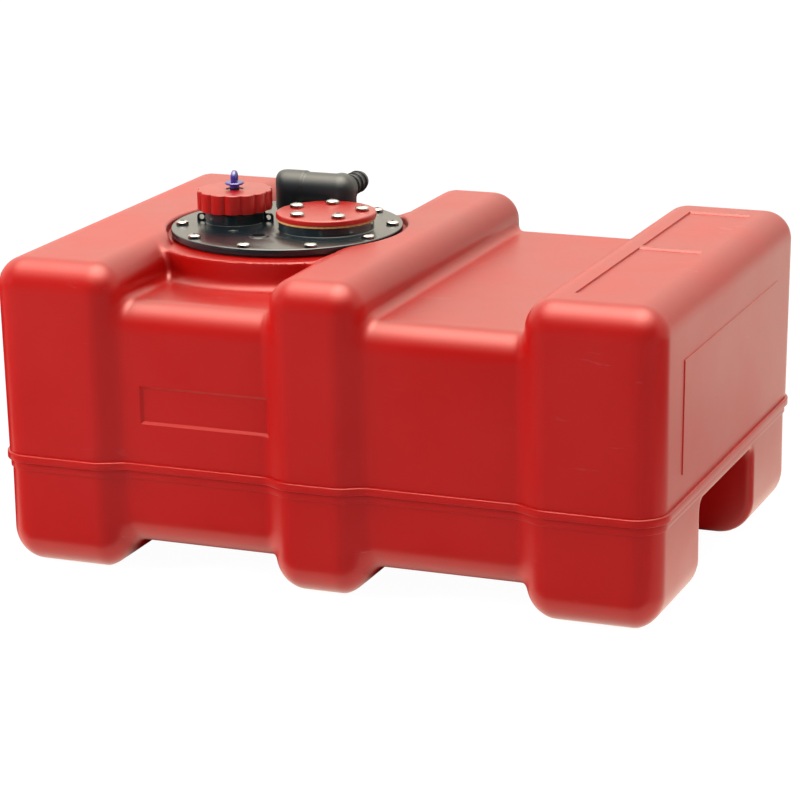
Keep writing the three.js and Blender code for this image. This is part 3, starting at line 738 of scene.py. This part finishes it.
def ear_shape():
    """Both tether ears as one upright bar with round ends and eased edges."""
    round_end = eased([
        (-ear_reach, plate_top - 1), (ear_reach, plate_top - 1),
        (ear_reach, plate_top + ear_height), (-ear_reach, plate_top + ear_height),
    ], [0, 0, ear_round, ear_round], steps=6)
    loops = []
    for y, inset in ((-1, ear_edge), (-0.75, 0), (0.75, 0), (1, ear_edge)):
        loops.append([
            (x - math.copysign(inset, x), y * ear_thickness / 2, z - (inset if z > plate_top else 0))
            for x, z in round_end
        ])
    return stacked("ears", loops[::-1])


join(plate, moved(ear_shape(), neck[0], neck[1], 0, ear_angle))

port = (flange_middle[0] - 3.1, flange_middle[1] - 44.8, 0)
port_radius, port_height = 7.4, 0.9
port_hole, port_mouth, port_floor = 4.6, 7, plate_top - 1.6
join(plate, turned("port", footed(port_radius, plate_top, plate_top + port_height, 0.4, 0.5), 48, port))
neck_bore, gauge_hole, spigot_hole = 18, 20, 9.3
above_neck = plate_top + 30
for place, radius, sides in ((neck, neck_bore, 96), (gauge, gauge_hole, 64), (elbow, spigot_hole, 48)):
    drill(plate, radius, plate_bottom - overrun, above_neck, sides, place)
cut(plate, turned("port_hole", eased([
    (0, port_floor), (port_hole, port_floor), (port_hole, plate_top + port_height),
    (port_mouth, plate_top + overrun), (0, plate_top + overrun),
], [0, 0.8, 0.3, 0, 0]), 48, port))
cut(plate, turned("dimple", [
    (3.2, plate_top - 0.7), (3.8, plate_top - 0.45), (4.1, plate_top + 0.01), (4.1, plate_top + 2),
], 40, (flange_middle[0] - 28.1, flange_middle[1] - 35.2, 0)))
ear_hole_x, ear_hole_radius = ear_reach - 3.6, 1.9
for side in (-1, 1):
    hole = turned("ear_hole", [(ear_hole_radius, -6), (ear_hole_radius, 6)], 24)
    hole.data.transform(Matrix.Rotation(math.pi / 2, 4, "X"))
    moved(hole, side * ear_hole_x, 0, plate_top + ear_height / 2)
    cut(plate, moved(hole, *neck[:2], 0, ear_angle))

screw_hole, cover_shank = 2.7, 12
cover_screws = [f"cover_screw_{number}" for number in range(1, 6)]
cover_screw_places = [middle_of(name)[:2] for name in cover_screws]
for place in screw_places:
    drill(plate, screw_hole, plate_bottom - overrun, plate_top + overrun, 24, place)
for place in cover_screw_places:
    drill(plate, screw_hole, boss_top - cover_shank, boss_top + overrun, 24, place)
finish_piece(plate, black_plastic, "tank", ["flange_plate"])


# Screws: stainless pan heads with a cross recess, ten round the plate and five in the gauge cover.
# Brass inserts moulded into the seat take the ten long ones.

def metal(name, dark, light, roughness, streaks):
    """Bare metal with a faint change of tone and fine turning marks."""
    material, shader, add = new_material(name)
    place = add("ShaderNodeTexCoord").outputs["Object"]
    tone = add("ShaderNodeTexNoise", {"Vector": place, "Scale": 220.0, "Detail": 3.0}).outputs["Fac"]
    marks = add("ShaderNodeTexNoise", {"Vector": place, "Scale": streaks, "Detail": 2.0}).outputs["Fac"]
    feed(material.node_tree, shader, {
        "Base Color": blended(add, ranged(add, tone, 0, 1, 0.35, 0.65), dark, light),
        "Metallic": 1.0,
        "Roughness": ranged(add, tone, roughness, roughness + 0.12, 0.4, 0.7),
        "Normal": bumped(add, marks, 0.15, 0.0001),
    })
    return material


stainless = metal("stainless", (0.26, 0.27, 0.27), (0.38, 0.39, 0.39), 0.14, 900.0)
brass = metal("brass", (0.44, 0.27, 0.08), (0.60, 0.38, 0.13), 0.30, 1200.0)


def pan_screw(name, head, head_height, shank_length):
    """A screw with its head on z = 0. The cross recess has tapered arms."""
    shank, point, point_length, rim = 2.3, 0.9, 1.4, 0.25
    outline = [(point, -shank_length), (shank, point_length - shank_length), (shank, 0)]
    crown = [
        (head * math.cos(a), head_height * (0.4 + 0.6 * math.sin(a)))
        for a in (math.radians(step * 9) for step in range(10))
    ]
    body = turned(name, [*outline, (head - rim, 0), (head, rim), *crown], 40)
    arm, half_arm_width, deep = 1.9, 0.55, head_height * 0.7
    for quarter in range(2):
        loops = [
            [(a * x, b * y, z) for x, y in ((1, 1), (-1, 1), (-1, -1), (1, -1))]
            for a, b, z in (
                (arm * 0.45, half_arm_width * 0.5, head_height - deep),
                (arm, half_arm_width, head_height - 0.15),
                (arm * 1.05, half_arm_width * 1.1, head_height + 2),
            )
        ]
        cut(body, moved(stacked("recess", loops), turn_z=quarter * math.pi / 2))
    return body


def set_screws(pattern, names, places, z, turns):
    """Copies of one screw at their places, each turned to its own stop."""
    for name, (x, y), angle in zip(names, places, turns):
        screw = bpy.data.objects.new(f"{name}_head", pattern.data)
        bpy.context.scene.collection.objects.link(screw)
        screw.location = Vector((x, y, z)) * MM
        screw.rotation_euler = (0, 0, math.radians(angle))
        finish_piece(screw, stainless, "tank", [name], crease=38)
    bpy.data.objects.remove(pattern)


cover_top = span("gauge_cover")[1][2]
set_screws(
    pan_screw("flange_screw", head=4.8, head_height=2.7, shank_length=17),
    screws, screw_places, plate_top + clamp_gap, [12, 55, 31, 78, 4, 63, 40, 20, 85, 49],
)
set_screws(
    pan_screw("cover_screw", head=5.2, head_height=3.3, shank_length=cover_shank),
    cover_screws, cover_screw_places, cover_top + clamp_gap, [25, 70, 8, 52, 36],
)
for number in range(1, 11):
    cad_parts[f"seat_insert_{number:02d}"].data.materials[0] = brass


# Blanked gauge hole: a thick red moulded disc with a rounded rim, laid on a ring of pressed cork
# and held down on the boss by five screws.

cap_plastic = plastic(
    "cap_plastic", (0.29, 0.005, 0.004), (0.33, 0.007, 0.005), roughness=0.315, scuffed=0.05,
    grain=0.06, wave=0.35, ior=1.5,
)

cover_low = span("gauge_cover")[0]
cover_radius = gauge[0] - cover_low[0]
cover = turned("gauge_blank", eased(
    [(0, cover_low[2]), (cover_radius, cover_low[2]), (cover_radius, cover_top), (0, cover_top)],
    [0, 0.5, 1.3, 0],
), 128, (*gauge[:2], 0))


def cork_material():
    """Pressed cork: pale tan granules with darker ones between."""
    material, shader, add = new_material("cork")
    place = add("ShaderNodeTexCoord").outputs["Object"]
    cells = add("ShaderNodeTexVoronoi", {"Vector": place, "Scale": 700.0})
    speck = add("ShaderNodeTexNoise", {"Vector": place, "Scale": 1500.0, "Detail": 3.0})
    specks = ranged(add, speck.outputs["Fac"], 0, 1, 0.3, 0.7)
    tan = blended(add, specks, (0.42, 0.19, 0.06), (0.66, 0.36, 0.13))
    between = ranged(add, cells.outputs["Distance"], 0, 0.5, 0.3, 0.9)
    feed(material.node_tree, shader, {
        "Base Color": blended(add, between, tan, (0.25, 0.10, 0.03)),
        "Roughness": 0.85,
        "Normal": bumped(add, cells.outputs["Distance"], 0.5, 0.0003),
    })
    return material


cork_low, cork_high = span("cover_gasket")
cork_radius = (cork_high[0] - cork_low[0]) / 2
cork_ring = turned("cork_ring", eased([
    (gauge_hole, cork_low[2]), (cork_radius, cork_low[2]),
    (cork_radius, cork_high[2]), (gauge_hole, cork_high[2]),
], [0, 0.3, 0.3, 0]), 128, (*gauge[:2], 0), ring=True)
for piece in (cover, cork_ring):
    for place in cover_screw_places:
        drill(piece, screw_hole, cover_top - cover_shank, cover_top + overrun, 24, place)
finish_piece(cover, cap_plastic, "tank", ["gauge_cover"])
finish_piece(cork_ring, cork_material(), "tank", ["cover_gasket"])


# Filler cap: red moulding with fourteen grip grooves, an inside thread and a vent hole on top.
# It turns up its thread with its sealing ring and the vent screw.

cap_low, cap_high = span("filler_cap")
cap_bottom, cap_top = cap_low[2], cap_high[2]
cap_radius, cap_inner, cap_edge = 28.2, 23.4, 1.1
flutes, flute_steps, first_flute = 14, 16, math.radians(-56)
flute_depth, flute_sharpness, flute_fade = 1.8, 2.6, 0.3
cap_underside = span("cap_seal")[1][2] + clamp_gap


def cap_loop(inset, z, flute_share=1.0):
    """The cap's outline of round lobes, moved in and with its grooves as deep as the share says."""
    count = flutes * flute_steps
    loop = []
    for i in range(count):
        angle = first_flute + i * 2 * math.pi / count
        from_lobe = abs(1 - 2 * (i / flute_steps % 1))
        radius = cap_radius - inset - flute_depth * flute_share * from_lobe ** flute_sharpness
        loop.append((neck[0] + radius * math.cos(angle), neck[1] + radius * math.sin(angle), z))
    return loop


cap_loops = [cap_loop(0.5, cap_bottom), cap_loop(0, cap_bottom + 0.5), cap_loop(0, cap_top - cap_edge)]
for step in range(1, 6):
    angle = step * math.pi / 10
    inset, drop = cap_edge * (1 - math.cos(angle)), cap_edge * (1 - math.sin(angle))
    cap_loops.append(cap_loop(inset, cap_top - drop, 1 - step / 5 * flute_fade))
cap = stacked("cap", cap_loops)
cut(cap, turned("cap_inside", eased([
    (0, cap_bottom - overrun), (cap_inner, cap_bottom - overrun),
    (cap_inner, cap_underside), (0, cap_underside),
], [0, 0, 0.8, 0]), 96, (*neck[:2], 0)))
join(cap, moved(thread(
    "cap_thread", turns=1.25, start_angle=-math.pi / 2, start_z=collar_top + 2.8,
    root=cap_inner + 0.4, crest=cap_inner - 2.2,
), *neck[:2]))
vent_hole, vent_recess, recess_floor = 2.7, 6.6, cap_top - 0.8
drill(cap, vent_hole, cap_underside - overrun, cap_top + overrun, 32, neck)
cut(cap, turned("vent_recess", eased([
    (0, recess_floor), (vent_recess, recess_floor), (vent_recess, cap_top + 2), (0, cap_top + 2),
], [0, 0.3, 0, 0]), 48, (*neck[:2], 0)))
finish_piece(cap, cap_plastic, "filler_cap", ["filler_cap"])


# Air vent: a thumb screw moulded in blue-violet nylon, with a round brim under its upright fin.
# It screws into the middle of the cap, down on its own sealing ring.

blue_nylon = plastic(
    "blue_nylon", (0.028, 0.021, 0.19), (0.060, 0.052, 0.32), roughness=0.23, scuffed=0.05,
    grain=0.05, wave=0.3, ior=1.5,
)
vent_low, vent_high = span("vent_screw")
stem_bottom, stem_radius = vent_low[2], 2.4
hub_bottom, hub_radius = span("vent_seal")[1][2] + clamp_gap, 3.7
brim_bottom, brim_radius = hub_bottom + 2.6, 7.1
brim_top = brim_bottom + 1.9
vent = turned("vent_thumb_screw", [
    (1.8, stem_bottom), (stem_radius, stem_bottom + 0.6), (stem_radius, hub_bottom),
    (hub_radius - 0.3, hub_bottom), (hub_radius, hub_bottom + 0.3), (hub_radius, brim_bottom - 0.8),
    (hub_radius + 0.8, brim_bottom), (brim_radius - 0.6, brim_bottom + 0.1),
    (brim_radius, brim_bottom + 0.6), (brim_radius, brim_top - 0.6), (brim_radius - 0.6, brim_top),
    (3.2, brim_top + 0.3), (2.2, brim_top + 1.2),
], 56, (*neck[:2], 0))

fin_half_width, fin_half_thickness, fin_angle = 6.0, 2.5, math.radians(-74)
fin_top, fin_foot = vent_high[2], 0.8
fin_roundness, fin_steps = 0.6, 14


def fin_loop(z, half, thick):
    angles = [i * math.pi / 18 for i in range(36)]
    return [(
        half * math.copysign(abs(math.cos(a)) ** fin_roundness, math.cos(a)),
        thick * math.copysign(abs(math.sin(a)) ** fin_roundness, math.sin(a)), z,
    ) for a in angles]


fin_loops = []
for step in range(fin_steps + 1):
    z = brim_top - fin_foot + (fin_top - brim_top + fin_foot) * math.sin(step / fin_steps * math.pi / 2)
    above = max(0, (z - (fin_top - fin_half_width)) / fin_half_width)
    round_top = math.sqrt(max(0, 1 - above ** 2))
    waist = 0.78 + 0.22 * min(1, (z - brim_top + fin_foot) / 4)
    half = max(0.15, fin_half_width * waist * round_top)
    fin_loops.append(fin_loop(z, half, max(0.1, fin_half_thickness * round_top ** 0.5)))
join(vent, moved(stacked("fin", fin_loops), *neck[:2], 0, fin_angle))
finish_piece(vent, blue_nylon, "vent_screw", ["vent_screw"])


# Hose elbow: a dull black moulding, bent twice, with a barbed tail for the hose. Its spigot goes
# down through the plate to a nut, and a plain leg holds up the far end of its arm.

elbow_black = plastic(
    "elbow_black", (0.009, 0.012, 0.014), (0.015, 0.019, 0.022), roughness=0.38, scuffed=0.08,
    grain=0.25, wave=0.8, ior=1.38,
)
elbow_base = span("elbow_seal")[1][2] + clamp_gap
axis_height = elbow_base + 15.5
riser_radius, arm_radius = 13.3, 12.4
socket_length, arm_length, stub_length = 11.4, 38.3, 8
socket_edge, stub_edge, arm_fillet = 1, 3, 1.2
bend_squareness = 4
elbow_bore = 6.5


def elbow_field(x, y, z):
    """The elbow's body without its spigot and barb, from the middle of the riser."""
    rise = z - axis_height
    outer = np.maximum(-x, 0) ** bend_squareness + np.maximum(rise, 0) ** bend_squareness
    inner = np.minimum(np.maximum(x, 0), np.maximum(-rise, 0))
    bend = np.hypot(y, np.maximum(outer ** (1 / bend_squareness), inner)) - riser_radius
    bend = rounded(np.maximum(bend, elbow_base - z), x - socket_length, socket_edge)
    arm = np.hypot(y, rise) - arm_radius
    arm = reduce(np.maximum, [arm, -x, x - arm_length])
    knuckle = np.sqrt((x - arm_length) ** 2 + y ** 2 + rise ** 2) - arm_radius
    leg = np.hypot(x - arm_length, y) - arm_radius
    leg = reduce(np.maximum, [leg, rise, plate_top + clamp_gap - z])
    stub = rounded(np.hypot(x - arm_length, rise) - arm_radius, y - stub_length, stub_edge)
    stub = np.maximum(stub, -y)
    return reduce(np.minimum, [filleted(bend, arm, arm_fillet), knuckle, leg, stub])


elbow_step, elbow_margin = 0.9 * coarse, 16
elbow_body = mesh_object("elbow_body", *skin_of(
    elbow_field,
    grid_line(-elbow_margin, arm_length + elbow_margin, elbow_step),
    grid_line(-elbow_margin, elbow_margin, elbow_step),
    grid_line(plate_top - 2, axis_height + elbow_margin, elbow_step),
))
barb_radius, barb_ring, barb_pitch, barb_count = 7.4, 8.6, 7.5, 3
barb_neck, barb_rise, barb_peak, barb_gap = 16.7, 1.6, 1.9, 0.4
barb = [(0, 0), (barb_radius, 0)]
barb_ease = [0, 0]
for number in range(barb_count):
    start = barb_neck + number * barb_pitch
    barb += [
        (barb_radius, start + barb_rise), (barb_ring, start + barb_peak),
        (barb_radius, start + barb_pitch - barb_gap),
    ]
    barb_ease += [0.2, 0.3, 0]
barb_end = barb_neck + barb_count * barb_pitch
tail = turned("barb", eased([*barb, (barb_radius - 0.4, barb_end)], [*barb_ease, 0], steps=3), 56)
tail.data.transform(Matrix.Rotation(-math.pi / 2, 4, "X"))
join(elbow_body, moved(tail, arm_length, 0, axis_height))
spigot_radius, spigot_length = 9, 18
spigot = [(spigot_radius, elbow_base - spigot_length), (spigot_radius, axis_height - 8)]
join(elbow_body, turned("spigot", spigot, 56))

arm_bore_end = arm_length + elbow_bore * 0.6
bores = (barb_end + overrun, -math.pi / 2, "X", arm_length), (arm_bore_end, math.pi / 2, "Y", 0)
for end, angle, axis, x in bores:
    bore = turned("bore", [(elbow_bore, 0), (elbow_bore, end)], 40)
    bore.data.transform(Matrix.Rotation(angle, 4, axis))
    cut(elbow_body, moved(bore, x, 0, axis_height))
drill(elbow_body, elbow_bore, elbow_base - spigot_length - 4, axis_height + 4, 40, (0, 0))
moved(elbow_body, *elbow[:2])
finish_piece(elbow_body, elbow_black, "tank", ["hose_elbow"], crease=40)


# Seals, the elbow's nut and the pickup inside the tank keep their own shapes. The seals are rings
# of black rubber, and the pickup tube and its strainer are pale nylon.

def rubber_material():
    """Black rubber, dull and faintly dusty."""
    material, shader, add = new_material("rubber")
    place = add("ShaderNodeTexCoord").outputs["Object"]
    dust = add("ShaderNodeTexNoise", {"Vector": place, "Scale": 160.0, "Detail": 4.0}).outputs["Fac"]
    dusty = ranged(add, dust, 0, 1, 0.45, 0.75)
    feed(material.node_tree, shader, {
        "Base Color": blended(add, dusty, (0.010, 0.010, 0.010), (0.030, 0.029, 0.028)),
        "Roughness": ranged(add, dust, 0.62, 0.82),
        "Normal": bumped(add, dust, 0.2, 0.0002),
    })
    return material


rubber = rubber_material()
pale_nylon = plastic(
    "pale_nylon", (0.60, 0.58, 0.52), (0.68, 0.66, 0.60), roughness=0.42, scuffed=0.1, grain=0.1, wave=0.2,
)
for node in ("flange_gasket", "cap_seal", "vent_seal", "elbow_seal"):
    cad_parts[node].data.materials[0] = rubber
for node in ("pickup_tube", "pickup_strainer"):
    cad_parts[node].data.materials[0] = pale_nylon
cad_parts["elbow_nut"].data.materials[0] = black_plastic


# Floor and light: a white table under a wide soft box and two fills, in a pale room that is dark on
# the near side and bright overhead. In gloss the table glows with a painted reflection.

warm_white = (1.1, 1.0, 0.83)
# Ends of the table's painted reflection: in front of the tank, and past its right end
painted_reflection_near_edge, painted_reflection_right_end = -187, 640
floor_reach, floor_z = 4000, -0.3


def mixed(add, share, low, high):
    """A number that goes from low to high with share."""
    return add("ShaderNodeMix", {0: share, 2: low, 3: high}, data_type="FLOAT").outputs[0]


def white_table():
    """A white table that the camera sees as white, with the object's shadow kept.

    In gloss it glows as a painted reflection, brighter behind the object and beside its right end, dark in
    front, with a painted shadow under the tank.
    """
    material, shader, add = new_material("white_table")
    tree = material.node_tree
    feed(tree, shader, {"Base Color": (0.9, 0.9, 0.9, 1), "Roughness": 0.9})
    ray = add("ShaderNodeLightPath")
    in_gloss = ray.outputs["Is Glossy Ray"]
    place = add("ShaderNodeSeparateXYZ", {"Vector": add("ShaderNodeNewGeometry").outputs["Position"]})
    x, y = place.outputs["X"], place.outputs["Y"]

    def along(axis, start, end, low=0, high=1):
        return ranged(add, axis, low, high, start * MM, end * MM)

    # Painted reflection: in gloss the table glows 1.7 up to beside the tank's right end, less past it, and
    # more behind it
    beside = along(x, half_length + 20, half_length + 90, 1.7, 0.75)
    behind = along(y, 200, 620, 0, 0.5)
    painted_reflection = calculated(add, "ADD", beside, behind)
    # The painted reflection is dark in front of the tank, and under the tank a painted shadow takes it away
    in_front = along(y, painted_reflection_near_edge - 10, painted_reflection_near_edge)
    painted_shadow_under_tank = calculated(
        add, "MULTIPLY", along(x, half_length - 40, half_length - 10, 1, 0),
        along(y, 10 - half_width, 60 - half_width),
    )
    clear = calculated(add, "SUBTRACT", in_front, painted_shadow_under_tank)
    far_or_left = calculated(
        add, "MAXIMUM", along(x, painted_reflection_right_end - 110, painted_reflection_right_end, 1, 0), along(y, 350, 700),
    )
    kept = calculated(add, "MULTIPLY", far_or_left, clear, use_clamp=True)
    seen = calculated(add, "MULTIPLY", ray.outputs["Is Camera Ray"], 0.9)
    # Painted reflection: glossy rays see this glow at the strength above, and the camera sees an even white
    painted_reflection_glow = add("ShaderNodeEmission", {
        "Color": blended(add, in_gloss, (1, 1, 1), warm_white),
        "Strength": mixed(add, in_gloss, 1.08, calculated(add, "MULTIPLY", painted_reflection, kept)),
    })
    surface = add("ShaderNodeMixShader", {
        0: calculated(add, "MAXIMUM", seen, in_gloss), 1: shader.outputs[0], 2: painted_reflection_glow.outputs[0],
    })
    feed(tree, tree.nodes["Material Output"], {"Surface": surface.outputs[0]})
    return material


floor_corners = ((-1, -1), (1, -1), (1, 1), (-1, 1))
floor = mesh_object(
    "floor", [(x * floor_reach, y * floor_reach, floor_z) for x, y in floor_corners], [[0, 1, 2, 3]],
)
floor.data.materials.append(white_table())


def soft_box(name, place, aim, size, watts):
    """A rectangular lamp at place, facing aim and left out of gloss. Its size is in millimetres."""
    lamp = bpy.data.lights.new(name, "AREA")
    lamp.shape = "RECTANGLE"
    lamp.size, lamp.size_y = (length * MM for length in size)
    lamp.energy = watts
    made = bpy.data.objects.new(name, lamp)
    bpy.context.scene.collection.objects.link(made)
    made.location = Vector(place) * MM
    made.rotation_euler = (Vector(aim) - Vector(place)).to_track_quat("-Z", "Y").to_euler()
    made.visible_glossy = False


soft_box("overhead", (250, -200, 1530), (0, 0, 200), (900, 900), 9.0)
soft_box("left_fill", (-1600, -950, 800), (0, -100, 100), (900, 900), 43)
soft_box("right_fill", (1500, -600, 140), (250, 0, 60), (500, 260), 6)

world = bpy.data.worlds.new("room")
bpy.context.scene.world = world
world.use_nodes = True
room = world.node_tree
add = partial(add_node, room)
room_light, seen_light = 0.6, 1.0
ceiling_light, ceiling_narrowness = 20.0, 6.0
ray = add("ShaderNodeLightPath")
in_gloss = ray.outputs["Is Glossy Ray"]
toward = add("ShaderNodeSeparateXYZ", {"Vector": add("ShaderNodeTexCoord").outputs["Generated"]})
far_side = ranged(add, toward.outputs["Y"], 0, 1, -0.25, 0.1, "LINEAR")
back_wall = ranged(add, toward.outputs["Z"], 1.0, 2.7, 0.1, 0.8, "LINEAR")
wall = calculated(add, "MULTIPLY", far_side, back_wall)
above = calculated(add, "MAXIMUM", toward.outputs["Z"], 0.0)
steep = calculated(add, "POWER", above, ceiling_narrowness)
ceiling = calculated(add, "MULTIPLY", steep, ceiling_light)
level = mixed(add, in_gloss, room_light, calculated(add, "MAXIMUM", wall, ceiling))
feed(room, room.nodes["Background"], {
    "Color": blended(add, in_gloss, (1, 1, 1), warm_white),
    "Strength": mixed(add, ray.outputs["Is Camera Ray"], level, seen_light),
})

bpy.context.scene.view_settings.view_transform = "Standard"
